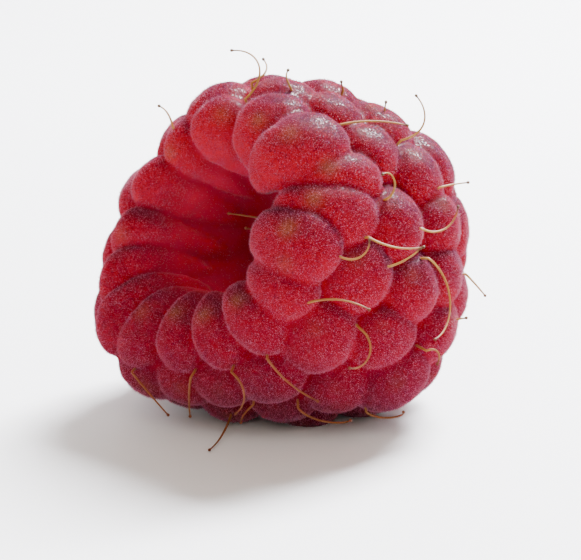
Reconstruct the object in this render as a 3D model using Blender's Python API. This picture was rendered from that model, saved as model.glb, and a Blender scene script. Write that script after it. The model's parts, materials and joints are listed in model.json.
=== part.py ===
"""A raspberry as picked, lying on its side with its open end tilted up.

The berry is one hollow thimble of drupelets grown together round the hole that the core left,
and many drupelets still carry their dry, thread-like style.

Berry coordinates: along runs down the berry's axis from the open end to the tip, clock turns round
the axis from 0 on top through 90 on the -Y side, and arc is measured on the outline: 0 is the edge
of the hole, negative arcs go down the wall of the cavity and positive ones over the lip, down the
outside and to the tip. Lengths are in millimetres up to the last step, which makes them metres.
"""

import math
import random

import bmesh
import bpy
from mathutils import Matrix, Vector

MM = 0.001

# The berry's outline, over the crowns of the drupelets
BELLY_DIAMETER = 19.5
BERRY_LENGTH = 18.0
BELLY_ALONG = 7.0
LIP_RADIUS = 6.2
LIP_ROUND = 2.0
TIP_BLUNTNESS = 0.62

# The cavity that the core left, a blunt cone
HOLE_RADIUS = 4.0
CAVITY_DEPTH = 12.5
CAVITY_END_RADIUS = 1.8

# The flesh under the crowns, which closes the gaps between the drupelets
FLESH_ARCS = (-8.0, -5.0, -2.4, -0.4, 1.4, 3.2, 4.8, 6.6, 8.5, 11.5, 14.5, 17.5, 20.5, 23.5, 26.0)
FLESH_SIDES = 28
FLESH_BELOW = 1.6
FLESH_BELOW_IN_CAVITY = 0.45

# How it lies: the axis leans up towards the open end, and the underside is pressed flat, for
# which a slab of this width in metres is cut off
AXIS_TILT_DEG = 24.0
PRESSED_FLAT = 0.55
SLAB = 0.06

# Where the soft berry is bulged or dented: clock, spread in degrees, arc, spread along the arc, rise
SHAPE = (
    (300, 36, 6.0, 7.0, -1.4),
    (259, 16, 2.0, 6.0, -0.8),
    (212, 21, 5.5, 4.5, 1.3),
    (200, 25, 10.0, 4.0, 0.4),
    (80, 55, 14.0, 5.0, 0.8),
    (122, 26, 15.5, 4.0, 1.3),
    (42, 24, 15.0, 4.0, 0.5),
    (180, 45, -0.5, 2.5, -0.8),
    (178, 42, 17.0, 6.0, -0.5),
    (177, 16, 18.4, 2.5, -0.45),
    (160, 15, 14.9, 2.5, 0.25),
    (192, 20, 21.8, 2.5, 0.35),
)

# The rim's drupelets are long and wrap over the lip:
# clock, half turn in degrees, from arc, to arc, lift, and how much the higher clocks' side is raised
RIM = (
    (350, 20, -3.2, 5.6, 0.2, 0.0),
    (23, 19, -2.4, 7.0, 0.4, 0.1),
    (46, 17, 0.4, 7.5, 0.95, 0.1),
    (60, 11, 2.6, 9.4, 0.35, 0.0),
    (73.5, 15, 1.1, 9.0, 0.35, 0.0),
    (90, 18, -0.2, 6.7, 0.9, 0.0),
    (110, 16, 0.0, 6.8, 0.3, 0.0),
    (129, 15, -1.2, 7.3, 0.1, 0.3),
    (151, 15, -3.0, 6.9, 0.0, 0.4),
    (173, 15, -3.4, 6.8, 0.0, 0.4),
    (194, 15, -3.6, 6.8, 0.0, 0.4),
    (213, 14, -3.6, 7.2, 0.0, 0.4),
    (234, 15, -4.6, 6.2, 0.0, 0.2),
    (258, 17, -6.0, 6.2, 0.0, 0.0),
    (293, 22, -6.0, 6.2, 0.0, 0.0),
    (323, 16, -5.4, 6.2, 0.0, 0.0),
)
RIM_HEIGHT = 1.5
RIM_FULLNESS = 2.6
RIM_SECTIONS = 14
RIM_SIDES = 9
RIM_ROOT_DEPTH = 1.2

# The drupelets behind the rim that were placed one by one: arc, clock, and size against its neighbours
PLACED = (
    (5.8, 341, 1.0),
    (6.9, 12, 1.0),
    (8.5, 28, 1.0),
    (11.6, 33, 1.0),
    (9.3, 47, 1.0),
    (12.4, 54, 1.0),
    (15.6, 43, 1.0),
    (10.0, 74, 1.0),
    (14.1, 69, 1.0),
    (8.4, 94, 1.05),
    (12.0, 93, 1.0),
    (15.0, 85, 1.0),
    (8.2, 121, 1.15),
    (11.3, 110, 1.0),
    (14.4, 124, 1.0),
    (16.2, 101, 1.0),
    (8.4, 147, 1.1),
    (11.8, 136, 1.0),
    (7.8, 165, 1.0),
    (7.6, 181, 1.0),
    (7.8, 197, 1.0),
    (11.5, 155, 1.0),
    (14.9, 161, 1.0),
    (14.9, 187, 1.0),
    (18.4, 177, 1.0),
)

# The others fill the rest of the outside in staggered rows, no closer than CLOSEST at the start,
# and push each other apart up to CROWD
ROW_ARCS = (7.5, 10.9, 14.2, 17.5, 20.7, 23.7, 27.0)
CROWD = 4.2
CLOSEST = 3.0
SETTLING_ROUNDS = 80
LAYOUT_SEED = 11

# A crown: half as wide as CROWN_SPREAD of the distance to its neighbours, rounded like a
# superellipse of power CROWN_FULLNESS, with a narrower root sunk in the flesh
CROWN_SPREAD = 0.59
SMALLEST_HALF = 1.6
LARGEST_HALF = 2.7
CROWN_HEIGHT = 1.0
CROWN_FULLNESS = 2.1
CROWN_RINGS = (0.3, 0.57, 0.8, 0.95, 1.0)
CROWN_SIDES = 16
ROOT_SHARE = 0.75
ROOT_DEPTH = 0.7

# How many triangles the drupelets and flesh keep once they are one
BODY_TRIANGLES = 9100

# The styles, thin dry threads: arc, clock, heading in degrees from down the outline towards higher
# clocks, length, how far it turns by the tip, and how steeply it stands at the root and at the tip
STYLES = (
    (4.2, 8, 36, 4.1, -160, 17, 14),
    (5.7, 2, 55, 1.9, -125, 15, 30),
    (6.4, 18, -150, 1.1, 125, 65, 28),
    (3.7, 325, 62, 1.4, -106, 53, 34),
    (7.1, 41, 6, 3.6, 29, 22, 11),
    (10.9, 46, 20, 3.2, -160, 50, 15),
    (8.9, 68, -46, 2.1, -167, 46, 8),
    (13.0, 60, -17, 1.7, 7, 28, 25),
    (11.1, 75, 21, 2.9, -111, 18, 12),
    (7.8, 82, 25, 2.9, -47, 28, 16),
    (6.2, 90, 43, 2.4, -152, 45, 10),
    (9.4, 89, -35, 1.8, -24, 27, 11),
    (11.9, 83, 20, 5.4, 130, 14, 8),
    (16.8, 82, 22, 2.6, -12, 25, 10),
    (5.9, 110, -58, 3.2, 56, 30, 16),
    (9.2, 110, 3, 3.0, 168, 43, 10),
    (6.3, 136, 10, 3.4, -41, 15, 21),
    (6.0, 151, -57, 2.5, 139, 37, 27),
    (9.0, 156, 102, 1.3, -60, 38, 17),
    (10.5, 172, 202, 3.3, -5, 58, 28),
    (5.8, 169, 27, 2.2, -16, 23, 20),
    (5.7, 196, -59, 3.0, -6, 15, 15),
    (10.7, 146, 12, 3.8, -147, 15, 17),
    (13.8, 134, -4, 2.8, -144, 19, 8),
    (13.8, 108, -63, 1.3, 165, 28, 8),
)
# Those cover the side of the berry that faces this way; on the side that faces away, one in so
# many of the drupelets has a style, which is drawn by the rule
STYLED_SIDE = (-0.78, -0.62, -0.06)
FACING_AWAY = -0.4
OTHERS_WITH_STYLE = 2
STYLE_SEED = 31
STYLE_RADIUS = 0.1
STYLE_SECTIONS = 5
STYLE_SIDES = 3
STYLE_ROOT = 1.0

# Corners closer than this are drawn apart
TOUCHING = 0.0005


def outline():
    """(arc, along, radius) of points close together on the outline, from the cavity's end to the tip."""
    belly = BELLY_DIAMETER / 2
    quarter = [math.pi / 2 * k / 60 for k in range(61)]
    wall = [(CAVITY_DEPTH, CAVITY_END_RADIUS)]
    lip = [
        (LIP_ROUND * (1 - math.sin(a)), HOLE_RADIUS + (LIP_RADIUS - HOLE_RADIUS) * (1 - math.cos(a)))
        for a in quarter
    ]
    front = [
        (BELLY_ALONG * (1 - math.cos(a)), LIP_RADIUS + (belly - LIP_RADIUS) * math.sin(a))
        for a in quarter[1:]
    ]
    back = [
        (
            BELLY_ALONG + (BERRY_LENGTH - BELLY_ALONG) * math.sin(a),
            belly * max(math.cos(a), 0.0) ** TIP_BLUNTNESS,
        )
        for a in quarter[1:]
    ]
    points = wall + lip + front + back
    arc = -math.dist(wall[0], lip[0])
    found = [(arc, *points[0])]
    for before, here in zip(points, points[1:]):
        arc += math.dist(before, here)
        found.append((arc, *here))
    return found


OUTLINE = outline()
FULL_ARC = OUTLINE[-1][0]


def on_outline(arc):
    """(along, radius) at that arc of the outline."""
    for (a0, x0, r0), (a1, x1, r1) in zip(OUTLINE, OUTLINE[1:]):
        if arc <= a1:
            share = (arc - a0) / (a1 - a0)
            return x0 + (x1 - x0) * share, r0 + (r1 - r0) * share
    return OUTLINE[-1][1:]


def turn_apart(a, b):
    """The angle from clock b to clock a, from -180 to 180."""
    return (a - b + 180) % 360 - 180


def rise(arc, clock):
    """How far the bulges and dents raise the outline there."""
    raised = 0.0
    for middle, spread, at, length, amount in SHAPE:
        off = (turn_apart(clock, middle) / spread) ** 2 + ((arc - at) / length) ** 2
        raised += amount * math.exp(-off)
    return raised


def crown_point(arc, clock):
    """The point of the outline at that arc and clock, with the berry's axis along +X."""
    along, radius = on_outline(arc)
    radius += rise(arc, clock) * min(1.0, radius / LIP_RADIUS)
    turn = math.radians(clock)
    return Vector((along, -radius * math.sin(turn), radius * math.cos(turn)))


def crown_axes(arc, clock):
    """Unit vectors round the berry, down the outline and outwards, at that point of the outline."""
    down = (crown_point(arc + 0.05, clock) - crown_point(arc - 0.05, clock)).normalized()
    around = (crown_point(arc, clock + 1) - crown_point(arc, clock - 1)).normalized()
    out = around.cross(down).normalized()
    return down.cross(out), down, out


def settled(free, fixed):
    """The free drupelets' arcs and clocks once they have been pushed, round by round, to sit evenly."""
    for _ in range(SETTLING_ROUNDS):
        points = [crown_point(*other) for other in fixed + free]
        moved = []
        for arc, clock in free:
            around, down, _ = crown_axes(arc, clock)
            push = Vector((0, 0, 0))
            for point in points:
                away = crown_point(arc, clock) - point
                if 1e-6 < away.length < CROWD:
                    push += away.normalized() * (CROWD - away.length)
            radius = max(on_outline(arc)[1], 1.0)
            arc = min(max(arc + 0.2 * push.dot(down), 6.0), FULL_ARC - 1.2)
            moved.append((arc, (clock + math.degrees(0.2 * push.dot(around) / radius)) % 360))
        free = moved
    return free


def layout():
    """(arc, clock, half size) of every drupelet behind the rim."""
    draw = random.Random(LAYOUT_SEED)
    rim = [(end - 2.6, clock) for clock, _, _, end, _, _ in RIM]
    fixed = [(arc, clock) for arc, clock, _ in PLACED] + rim
    free = []
    for row, arc in enumerate(ROW_ARCS):
        count = max(1, round(2 * math.pi * on_outline(arc)[1] / CROWD))
        for k in range(count):
            clock = (360 * (k + row % 2 / 2) / count + draw.uniform(-4, 4)) % 360
            here = crown_point(arc, clock)
            if all((here - crown_point(*other)).length > CLOSEST for other in fixed + free):
                free.append((arc, clock))
    free = settled(free, fixed)
    points = [crown_point(*other) for other in fixed + free]
    sized = []
    for arc, clock, size in [*PLACED, *((arc, clock, 1.0) for arc, clock in free)]:
        here = crown_point(arc, clock)
        gaps = sorted((here - point).length for point in points)[1:7]
        half = min(max(CROWN_SPREAD * sum(gaps) / len(gaps), SMALLEST_HALF), LARGEST_HALF)
        sized.append((arc, clock, size * half))
    return sized


def add_closed(name, rings, first, last):
    """A closed mesh object through equal rings of points, closed at each end with a fan to a point."""
    mesh = bmesh.new()
    rows = [[mesh.verts.new(point) for point in ring] for ring in rings]
    start, end = mesh.verts.new(first), mesh.verts.new(last)
    count = len(rows[0])
    for k in range(count):
        after = (k + 1) % count
        mesh.faces.new((start, rows[0][after], rows[0][k]))
        mesh.faces.new((end, rows[-1][k], rows[-1][after]))
        for here, below in zip(rows, rows[1:]):
            mesh.faces.new((here[k], here[after], below[after], below[k]))
    bmesh.ops.triangulate(mesh, faces=mesh.faces)
    if mesh.calc_volume(signed=True) < 0:
        bmesh.ops.reverse_faces(mesh, faces=mesh.faces)
    data = bpy.data.meshes.new(name)
    mesh.to_mesh(data)
    mesh.free()
    return bpy.data.objects.new(name, data)


def add_flesh():
    """The thimble under the crowns: down the cavity wall, over the lip, along the outside to the tip."""
    rings = []
    for arc in (OUTLINE[0][0] + 0.05, *FLESH_ARCS):
        outside = min(max(arc / 4, 0), 1)
        below = FLESH_BELOW_IN_CAVITY + (FLESH_BELOW - FLESH_BELOW_IN_CAVITY) * outside
        ring = []
        for k in range(FLESH_SIDES):
            clock = 360 * k / FLESH_SIDES
            ring.append(crown_point(arc, clock) - crown_axes(arc, clock)[2] * below)
        rings.append(ring)
    end = Vector((CAVITY_DEPTH + 1.2, 0, 0))
    tip = Vector((BERRY_LENGTH - FLESH_BELOW, 0, 0))
    return add_closed("raspberry", rings, end, tip)


def add_rim_drupelet(clock, half_turn, start, end, lift, lean):
    """A long drupelet bent over the lip, built up from sections across it."""
    middle, reach = (start + end) / 2, (end - start) / 2
    rings = []
    for i in range(1, RIM_SECTIONS + 1):
        along = -math.cos(math.pi * i / (RIM_SECTIONS + 1))
        arc = middle + reach * along
        fullness = 1 - abs(along) ** RIM_FULLNESS
        height = RIM_HEIGHT * min(1.1, on_outline(arc)[1] / LIP_RADIUS)
        top = lift - height * (1 - fullness**0.5)
        width = half_turn * fullness ** (1 / RIM_FULLNESS)
        out = crown_axes(arc, clock)[2]
        ring = []
        for k in range(RIM_SIDES):
            across = -math.cos(math.pi * k / (RIM_SIDES - 1))
            fall = height * (1 - max(0.0, 1 - abs(across) ** CROWN_FULLNESS) ** (1 / CROWN_FULLNESS))
            ring.append(crown_point(arc, clock + width * across) + out * (top - fall + lean * across))
        ring.append(crown_point(arc, clock) + out * (top - height - RIM_ROOT_DEPTH))
        rings.append(ring)
    ends = [
        crown_point(arc, clock) + crown_axes(arc, clock)[2] * (lift - RIM_HEIGHT * 0.8)
        for arc in (start, end)
    ]
    return add_closed("rim_drupelet", rings, *ends)


def add_drupelet(arc, clock, half):
    """A rounded drupelet, its crown on the outline and its root sunk in the flesh."""
    around, down, out = crown_axes(arc, clock)
    top = crown_point(arc, clock)
    height = CROWN_HEIGHT * half
    rings = []
    for share in (*CROWN_RINGS, None):
        if share is None:
            width, depth = ROOT_SHARE * half, height + ROOT_DEPTH
        else:
            width = share * half
            depth = height * (1 - max(0.0, 1 - share**CROWN_FULLNESS) ** (1 / CROWN_FULLNESS))
        rings.append(
            [
                top
                + around * (width * math.cos(2 * math.pi * k / CROWN_SIDES))
                + down * (width * math.sin(2 * math.pi * k / CROWN_SIDES))
                - out * depth
                for k in range(CROWN_SIDES)
            ]
        )
    return add_closed("drupelet", rings, top, top - out * (height + ROOT_DEPTH + 0.3))


def all_styles(drupelets):
    """The styles set one by one, and on the other side those that the seeded rule draws."""
    draw = random.Random(STYLE_SEED)
    side = Vector(STYLED_SIDE).normalized()
    away = [
        (arc, clock) for arc, clock, _ in drupelets if crown_axes(arc, clock)[2].dot(side) < FACING_AWAY
    ]
    found = list(STYLES)
    for arc, clock in away[::OTHERS_WITH_STYLE]:
        heading, length = draw.uniform(0, 360), draw.uniform(2.4, 4.0)
        bend = draw.choice((-1, 1)) * draw.uniform(30, 110)
        found.append((arc, clock, heading, length, bend, 28, draw.uniform(8, 30)))
    return found


def add_style(arc, clock, heading, length, turn, steep_root, steep_tip):
    """A thin curved thread with its root sunk in a drupelet."""
    around, down, out = crown_axes(arc, clock)
    here = crown_point(arc, clock) - out * STYLE_ROOT
    path = [here, here + out * (0.9 * STYLE_ROOT)]
    for k in range(STYLE_SECTIONS):
        share = (k + 0.5) / STYLE_SECTIONS
        way = math.radians(heading + turn * share)
        steep = math.radians(steep_root + (steep_tip - steep_root) * share)
        level = down * math.cos(way) + around * math.sin(way)
        step = level * math.cos(steep) + out * math.sin(steep)
        path.append(path[-1] + step * (length / STYLE_SECTIONS))
    rings = []
    side = around
    for k, point in enumerate(path):
        ahead = (path[min(k + 1, len(path) - 1)] - path[max(k - 1, 0)]).normalized()
        side = (side - ahead * side.dot(ahead)).normalized()
        other = ahead.cross(side)
        rings.append(
            [
                point
                + side * (STYLE_RADIUS * math.cos(2 * math.pi * n / STYLE_SIDES))
                + other * (STYLE_RADIUS * math.sin(2 * math.pi * n / STYLE_SIDES))
                for n in range(STYLE_SIDES)
            ]
        )
    return add_closed("style", rings, path[0] - out * STYLE_RADIUS, path[-1] + ahead * STYLE_RADIUS)


def apply_modifiers(obj):
    """Makes the shape that the object's modifiers give it its own."""
    graph = bpy.context.evaluated_depsgraph_get()
    shaped = bpy.data.meshes.new_from_object(obj.evaluated_get(graph))
    obj.modifiers.clear()
    obj.data = shaped


def apply_boolean(obj, operation, others):
    """Joins those objects to the object, or cuts them out of it, and removes them."""
    collection = bpy.data.collections.new(operation)
    bpy.context.scene.collection.children.link(collection)
    for other in others:
        collection.objects.link(other)
    modifier = obj.modifiers.new(operation, "BOOLEAN")
    modifier.operation = operation
    modifier.operand_type = "COLLECTION"
    modifier.collection = collection
    modifier.solver = "MANIFOLD"
    apply_modifiers(obj)
    for other in others:
        bpy.data.objects.remove(other, do_unlink=True)
    bpy.data.collections.remove(collection)


def thin_out(obj, triangles):
    """Merges the smallest triangles of the object until about that many are left."""
    obj.data.calc_loop_triangles()
    modifier = obj.modifiers.new("thinned", "DECIMATE")
    modifier.ratio = triangles / len(obj.data.loop_triangles)
    modifier.use_collapse_triangulate = True
    apply_modifiers(obj)


def keep_largest_shell(obj):
    """Fills the sealed pockets between drupelets with flesh and drops what the cut left loose."""
    mesh = bmesh.new()
    mesh.from_mesh(obj.data)
    left = set(mesh.verts)
    shells = []
    while left:
        shell, edge_of_shell = set(), [left.pop()]
        while edge_of_shell:
            vertex = edge_of_shell.pop()
            shell.add(vertex)
            for edge in vertex.link_edges:
                other = edge.other_vert(vertex)
                if other in left:
                    left.remove(other)
                    edge_of_shell.append(other)
        shells.append(shell)
    shells.sort(key=len)
    for shell in shells[:-1]:
        bmesh.ops.delete(mesh, geom=list(shell), context="VERTS")
    mesh.to_mesh(obj.data)
    mesh.free()


def draw_apart(obj):
    """Moves corners that only just touch, each towards the corners that its own faces join it to."""
    mesh = bmesh.new()
    mesh.from_mesh(obj.data)
    pairs = bmesh.ops.find_doubles(mesh, verts=mesh.verts, dist=TOUCHING)["targetmap"]
    moves = []
    for vertex in {*pairs.keys(), *pairs.values()}:
        joined = [edge.other_vert(vertex).co for edge in vertex.link_edges]
        middle = sum(joined, Vector((0, 0, 0))) / len(joined)
        moves.append((vertex, vertex.co.lerp(middle, 0.1)))
    for vertex, place in moves:
        vertex.co = place
    mesh.to_mesh(obj.data)
    mesh.free()


def add_slab():
    """What is cut off below the level that the berry rests on."""
    mesh = bmesh.new()
    place = Matrix.Translation((0, 0, -SLAB / 4)) @ Matrix.Diagonal((SLAB, SLAB, SLAB / 2, 1))
    bmesh.ops.create_cube(mesh, size=1.0, matrix=place)
    data = bpy.data.meshes.new("slab")
    mesh.to_mesh(data)
    mesh.free()
    return bpy.data.objects.new("slab", data)


def laid_down():
    """Tilts the berry, sets its lowest crown at the origin and turns millimetres to metres."""
    lie = Matrix.Rotation(math.radians(AXIS_TILT_DEG), 4, "Y")
    lowest = lie @ crown_point(*PLACED[-1][:2])
    lift = Matrix.Translation((-lowest.x, -lowest.y, -lowest.z - PRESSED_FLAT))
    return Matrix.Scale(MM, 4) @ lift @ lie


def add_flesh_material(obj):
    """The red of ripe flesh, on the whole object."""
    flesh = bpy.data.materials.new("berry_flesh")
    flesh.use_nodes = True
    shader = flesh.node_tree.nodes["Principled BSDF"]
    shader.inputs["Base Color"].default_value = (0.55, 0.03, 0.06, 1)
    shader.inputs["Roughness"].default_value = 0.45
    obj.data.materials.clear()
    obj.data.materials.append(flesh)


def main():
    for obj in list(bpy.data.objects):
        bpy.data.objects.remove(obj, do_unlink=True)

    berry = add_flesh()
    bpy.context.scene.collection.objects.link(berry)
    behind_rim = layout()
    grown = [add_rim_drupelet(*one) for one in RIM]
    grown += [add_drupelet(*one) for one in behind_rim]
    apply_boolean(berry, "UNION", grown)
    keep_largest_shell(berry)
    draw_apart(berry)
    thin_out(berry, BODY_TRIANGLES)
    apply_boolean(berry, "UNION", [add_style(*one) for one in all_styles(behind_rim)])
    berry.data.transform(laid_down())
    apply_boolean(berry, "DIFFERENCE", [add_slab()])
    keep_largest_shell(berry)

    add_flesh_material(berry)
    berry.data.shade_smooth()
    berry.data.set_sharp_from_angle(angle=math.radians(35))


main()
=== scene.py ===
"""A raspberry as picked: its soft hairy skin, its dry styles, and a pale table under studio light.

Berry coordinates: along runs down the berry's axis from the open end to the tip, clock turns round
the axis from 0 on top through 90 on the -Y side, and arc is measured on the outline: 0 is the edge
of the hole, negative arcs go down the wall of the cavity and positive ones over the lip, down the
outside and to the tip. The berry is made in millimetres and laid down in metres.
"""

import json
import math
import random

import bmesh
import bpy
import numpy as np
from bpy.props import FloatProperty, FloatVectorProperty, IntProperty, PointerProperty
from mathutils import Matrix, Vector, noise

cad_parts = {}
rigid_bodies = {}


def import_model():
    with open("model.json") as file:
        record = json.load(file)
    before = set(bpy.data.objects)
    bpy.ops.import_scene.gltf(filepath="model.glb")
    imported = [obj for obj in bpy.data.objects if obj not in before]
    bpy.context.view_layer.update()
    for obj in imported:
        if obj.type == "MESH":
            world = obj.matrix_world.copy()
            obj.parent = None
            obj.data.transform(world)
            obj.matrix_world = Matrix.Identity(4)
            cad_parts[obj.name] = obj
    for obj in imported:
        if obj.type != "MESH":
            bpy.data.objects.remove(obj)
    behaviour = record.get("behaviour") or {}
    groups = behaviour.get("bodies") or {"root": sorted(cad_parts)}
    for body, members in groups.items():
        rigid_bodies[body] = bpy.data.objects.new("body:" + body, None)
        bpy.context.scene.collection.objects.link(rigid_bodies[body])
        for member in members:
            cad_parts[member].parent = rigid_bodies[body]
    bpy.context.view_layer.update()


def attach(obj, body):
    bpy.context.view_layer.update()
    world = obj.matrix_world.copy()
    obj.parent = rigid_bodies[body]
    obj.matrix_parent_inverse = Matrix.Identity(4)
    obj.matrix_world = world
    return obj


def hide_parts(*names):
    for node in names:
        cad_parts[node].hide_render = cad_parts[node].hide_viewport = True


bl_info = {
    "name": "Raspberry",
    "version": (1, 0, 0),
    "blender": (4, 5, 0),
    "location": "View3D > Sidebar > Raspberry",
    "description": "Builds a picked raspberry with its fuzz and dry styles, and the table it lies on",
    "category": "Add Mesh",
}

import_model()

# Millimetres to metres, a length too short to matter, and the steps along the outline and round it
# that show which way it runs
MM = 0.001
TINY = 1e-6
ARC_STEP = 0.05
CLOCK_STEP = 1

# The berry's outline over the crowns of the drupelets, and its cavity, in millimetres
BELLY_DIAMETER = 19.5
BERRY_LENGTH = 18.0
BELLY_ALONG = 7.0
LIP_RADIUS = 6.2
LIP_ROUND = 2.0
TIP_BLUNTNESS = 0.62
HOLE_RADIUS = 4.0
CAVITY_DEPTH = 12.5
CAVITY_END_RADIUS = 1.8
AXIS_TILT_DEG = 24.0
PRESSED_FLAT = 0.55
OUTLINE_STEPS = 60

# The flesh under the crowns: how deep it lies outside and in the cavity, the arc over which one
# turns into the other, the arcs left open at the cavity's end, the hole's edge and the tip, and how
# finely it is made
FLESH_BELOW = 1.6
FLESH_BELOW_IN_CAVITY = 0.45
FLESH_CHANGES_OVER = 4.0
LEFT_AT_CAVITY_END = 0.05
LEFT_AT_EDGE = 0.5
LEFT_AT_TIP = 2
FLESH_RINGS_INSIDE = 20
FLESH_RINGS_OUTSIDE = 50
FLESH_TURN_STEPS = 72

# Bulges and dents: clock, spread in degrees, arc, spread along the arc, rise
SHAPE = (
    (300, 36, 6.0, 7.0, -1.4),
    (259, 16, 2.0, 6.0, -0.8),
    (212, 21, 5.5, 4.5, 1.3),
    (200, 25, 10.0, 4.0, 0.4),
    (80, 55, 14.0, 5.0, 0.8),
    (122, 26, 15.5, 4.0, 1.3),
    (42, 24, 15.0, 4.0, 0.5),
    (180, 45, -0.5, 2.5, -0.8),
    (178, 42, 17.0, 6.0, -0.5),
    (177, 16, 18.4, 2.5, -0.45),
    (160, 15, 14.9, 2.5, 0.25),
    (192, 20, 21.8, 2.5, 0.35),
)

# The rim's drupelets: clock, half turn, from arc, to arc, lift, how much the higher clocks' side rises
RIM = (
    (350, 20, -3.2, 5.6, 0.2, 0.0),
    (23, 19, -2.4, 7.0, 0.4, 0.1),
    (46, 17, 0.4, 7.5, 0.95, 0.1),
    (60, 11, 2.6, 9.4, 0.35, 0.0),
    (73.5, 15, 1.1, 9.0, 0.35, 0.0),
    (90, 18, -0.2, 6.7, 0.9, 0.0),
    (110, 16, 0.0, 6.8, 0.3, 0.0),
    (129, 15, -1.2, 7.3, 0.1, 0.3),
    (151, 15, -3.0, 6.9, 0.0, 0.4),
    (173, 15, -3.4, 6.8, 0.0, 0.4),
    (194, 15, -3.6, 6.8, 0.0, 0.4),
    (213, 14, -3.6, 7.2, 0.0, 0.4),
    (234, 15, -4.6, 6.2, 0.0, 0.2),
    (258, 17, -6.0, 6.2, 0.0, 0.0),
    (293, 22, -6.0, 6.2, 0.0, 0.0),
    (323, 16, -5.4, 6.2, 0.0, 0.0),
)
RIM_HEIGHT = 1.5
RIM_HEIGHT_GROWS_TO = 1.1
RIM_FULLNESS = 2.6
RIM_ROOT_DEPTH = 1.2
RIM_CROWN_BEFORE_END = 2.6
RIM_SEGMENTS = 40
SHORT_OF_THE_POLE = 0.999

# The placed drupelets behind the rim: arc, clock, size against its neighbours
PLACED = (
    (5.8, 341, 1.0),
    (6.9, 12, 1.0),
    (8.5, 28, 1.0),
    (11.6, 33, 1.0),
    (9.3, 47, 1.0),
    (12.4, 54, 1.0),
    (15.6, 43, 1.0),
    (10.0, 74, 1.0),
    (14.1, 69, 1.0),
    (8.4, 94, 1.05),
    (12.0, 93, 1.0),
    (15.0, 85, 1.0),
    (8.2, 121, 1.15),
    (11.3, 110, 1.0),
    (14.4, 124, 1.0),
    (16.2, 101, 1.0),
    (8.4, 147, 1.1),
    (11.8, 136, 1.0),
    (7.8, 165, 1.0),
    (7.6, 181, 1.0),
    (7.8, 197, 1.0),
    (11.5, 155, 1.0),
    (14.9, 161, 1.0),
    (14.9, 187, 1.0),
    (18.4, 177, 1.0),
)

# The rest of them: the arcs of their rows, how unevenly a row starts, and how they push each other
# apart until they settle
ROW_ARCS = (7.5, 10.9, 14.2, 17.5, 20.7, 23.7, 27.0)
ROW_UNEVENNESS_DEG = 4
CROWD = 4.2
CLOSEST = 3.0
SETTLING_ROUNDS = 80
SETTLING_PUSH = 0.2
FIRST_FREE_ARC = 6.0
TIP_LEFT_FREE = 1.2
SMALLEST_TURNING_RADIUS = 1.0
LAYOUT_SEED = 11

# A drupelet's half size, from the gaps to its neighbours, and how its crown and root are shaped
NEIGHBOURS = 6
CROWN_SPREAD = 0.59
SMALLEST_HALF = 1.6
LARGEST_HALF = 2.7
CROWN_FULLNESS = 2.1
ROOT_DEPTH = 0.7
CROWN_SEGMENTS = 40
CROWN_RINGS = 26

# The finer shape of the skin: dents, how often they repeat in a millimetre, and how the furrows
# are sharpened against the skin smoothed over so many rounds
DENT_DEPTH = 0.09
BROAD_DENTS = 0.55
FINE_DENTS = 1.4
FINE_DENT_SHARE = 0.5
SHARPENING = 0.7
SHARPENING_ROUNDS = 12

# The styles: arc, clock, heading from down the outline towards higher clocks, length, turn by the
# tip, and how steeply it stands at the root and at the tip
STYLES = (
    (4.2, 8, 36, 4.1, -160, 17, 14),
    (5.7, 2, 55, 1.9, -125, 15, 30),
    (6.4, 18, -150, 1.1, 125, 65, 28),
    (3.7, 325, 62, 1.4, -106, 53, 34),
    (7.1, 41, 6, 3.6, 29, 22, 11),
    (10.9, 46, 20, 3.2, -160, 50, 15),
    (8.9, 68, -46, 2.1, -167, 46, 8),
    (13.0, 60, -17, 1.7, 7, 28, 25),
    (11.1, 75, 21, 2.9, -111, 18, 12),
    (7.8, 82, 25, 2.9, -47, 28, 16),
    (6.2, 90, 43, 2.4, -152, 45, 10),
    (9.4, 89, -35, 1.8, -24, 27, 11),
    (11.9, 83, 20, 5.4, 130, 14, 8),
    (16.8, 82, 22, 2.6, -12, 25, 10),
    (5.9, 110, -58, 3.2, 56, 30, 16),
    (9.2, 110, 3, 3.0, 168, 43, 10),
    (6.3, 136, 10, 3.4, -41, 15, 21),
    (6.0, 151, -57, 2.5, 139, 37, 27),
    (9.0, 156, 102, 1.3, -60, 38, 17),
    (10.5, 172, 202, 3.3, -5, 58, 28),
    (5.8, 169, 27, 2.2, -16, 23, 20),
    (5.7, 196, -59, 3.0, -6, 15, 15),
    (10.7, 146, 12, 3.8, -147, 15, 17),
    (13.8, 134, -4, 2.8, -144, 19, 8),
    (13.8, 108, -63, 1.3, 165, 28, 8),
)
# Short ones that stand in the hole or just show over the far side
SHORT_STYLES = (
    (-2.0, 68, 315, 3.5, 0, 70, 70),
    (-2.0, 80, 0, 2.5, 0, 50, 50),
    (10.0, 20, 180, 0.5, 0, 50, 50),
    (11.2, 33, 225, 0.5, 0, 70, 70),
    (16.0, 97, 270, 0.5, 0, 70, 70),
)
# The styles on the sides that those leave bare: which way bare drupelets face, how many of them
# share a style, and between what their lengths, turns and steepness are drawn
STYLED_SIDE = (-0.78, -0.62, -0.06)
FACING_AWAY = -0.4
OTHERS_WITH_STYLE = 2
STYLE_SEED = 31
OTHER_LENGTHS = (2.4, 4.0)
OTHER_TURNS = (30, 110)
OTHER_STEEP_ROOT = 28
OTHER_STEEP_TIPS = (8, 30)

# A style's root in the flesh, its sections and sides, its width along it against that at the root,
# and its knob: how far past the end, and its width there
STYLE_ROOT = 1.0
STYLE_ROOT_IN_FLESH = 0.9
STYLE_SECTIONS = 22
STYLE_SIDES = 8
STYLE_WIDTH_AT_ROOT = 1.15
STYLE_TAPER = 0.5
KNOB = ((0.02, 0.75), (0.06, 1.2), (0.11, 1.5), (0.16, 1.3), (0.20, 0.6))
STYLE_CLEAR_OF_TABLE = 0.00002

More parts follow.
